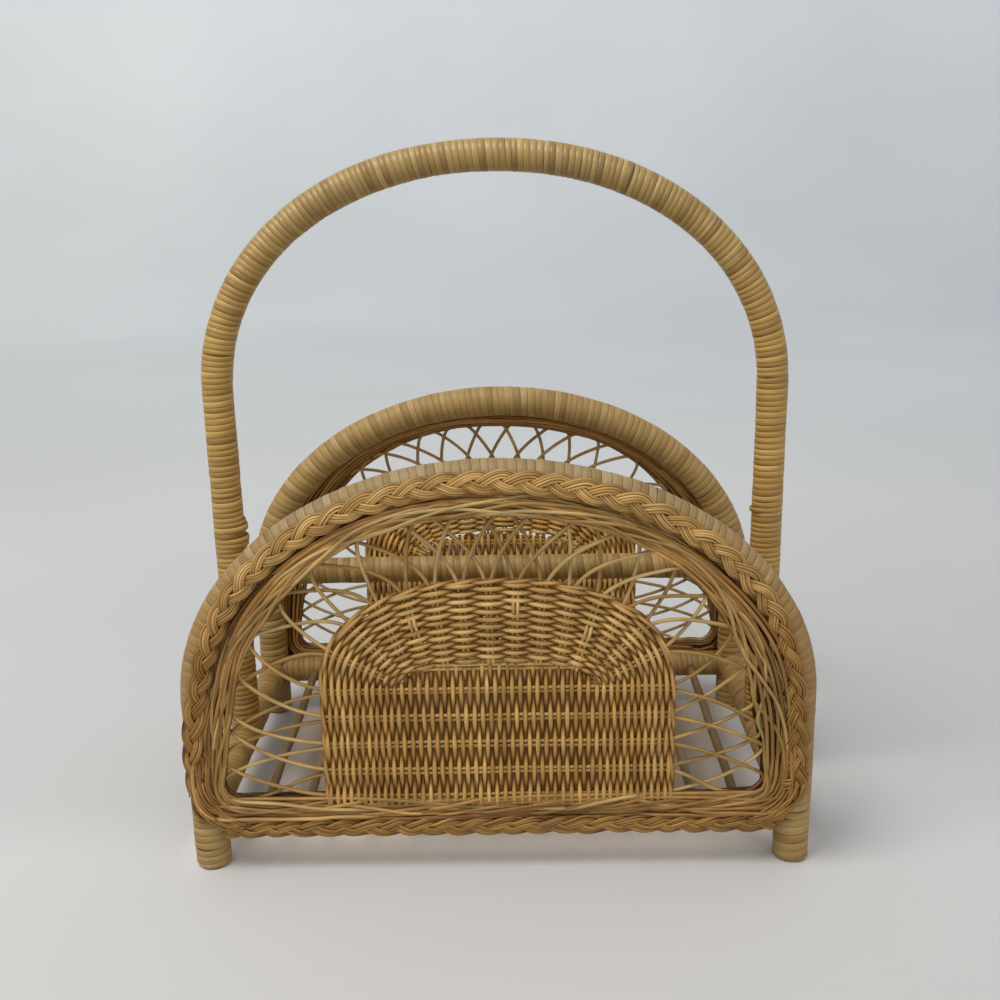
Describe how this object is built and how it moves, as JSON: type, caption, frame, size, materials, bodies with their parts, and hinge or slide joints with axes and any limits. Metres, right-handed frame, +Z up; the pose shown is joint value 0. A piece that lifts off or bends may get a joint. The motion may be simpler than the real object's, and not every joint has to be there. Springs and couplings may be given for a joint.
{
  "type": "wicker magazine basket",
  "caption": "Wicker magazine basket: two arched woven panels on bent wrapped poles, a slatted floor, a dividing bar and a tall arched carrying handle.",
  "frame": {"origin": "on the floor, below the middle of the basket", "axes": "+X along the panels to the right, the front panel towards -Y, +Z up"},
  "size_m": [0.382, 0.2474, 0.4333],
  "materials": {
    "pole_peel": "satin natural rattan peel",
    "pole_cane": "matt natural cane, cut ends showing at the feet",
    "woven_reed": "semi-matt natural round reed",
    "plaited_reed": "semi-matt natural round reed, plaited",
    "floor_cane": "satin natural cane"
  },
  "bodies": {
    "root": {"front_hoop_core": "pole_cane", "front_hoop_winding": "pole_peel", "front_rail_core": "pole_cane", "front_rail_winding": "pole_peel", "front_border_bundle": "woven_reed", "front_woven_arch": "woven_reed", "front_woven_centre": "woven_reed", "front_stake_lattice": "woven_reed", "front_hoop_plait": "plaited_reed", "front_sill_plait": "plaited_reed", "rear_hoop_core": "pole_cane", "rear_hoop_winding": "pole_peel", "rear_rail_core": "pole_cane", "rear_rail_winding": "pole_peel", "rear_border_bundle": "woven_reed", "rear_woven_arch": "woven_reed", "rear_woven_centre": "woven_reed", "rear_stake_lattice": "woven_reed", "rear_hoop_plait": "plaited_reed", "rear_sill_plait": "plaited_reed", "left_rail_core": "pole_cane", "left_rail_winding": "pole_peel", "right_rail_core": "pole_cane", "right_rail_winding": "pole_peel", "handle_core": "pole_cane", "handle_winding": "pole_peel", "divider_core": "pole_cane", "divider_winding": "pole_peel", "slat_01": "floor_cane", "slat_02": "floor_cane", "slat_03": "floor_cane", "slat_04": "floor_cane", "slat_05": "floor_cane", "slat_06": "floor_cane", "slat_07": "floor_cane", "slat_08": "floor_cane", "slat_09": "floor_cane", "slat_10": "floor_cane", "slat_11": "floor_cane", "slat_12": "floor_cane"}
  },
  "joints": []
}
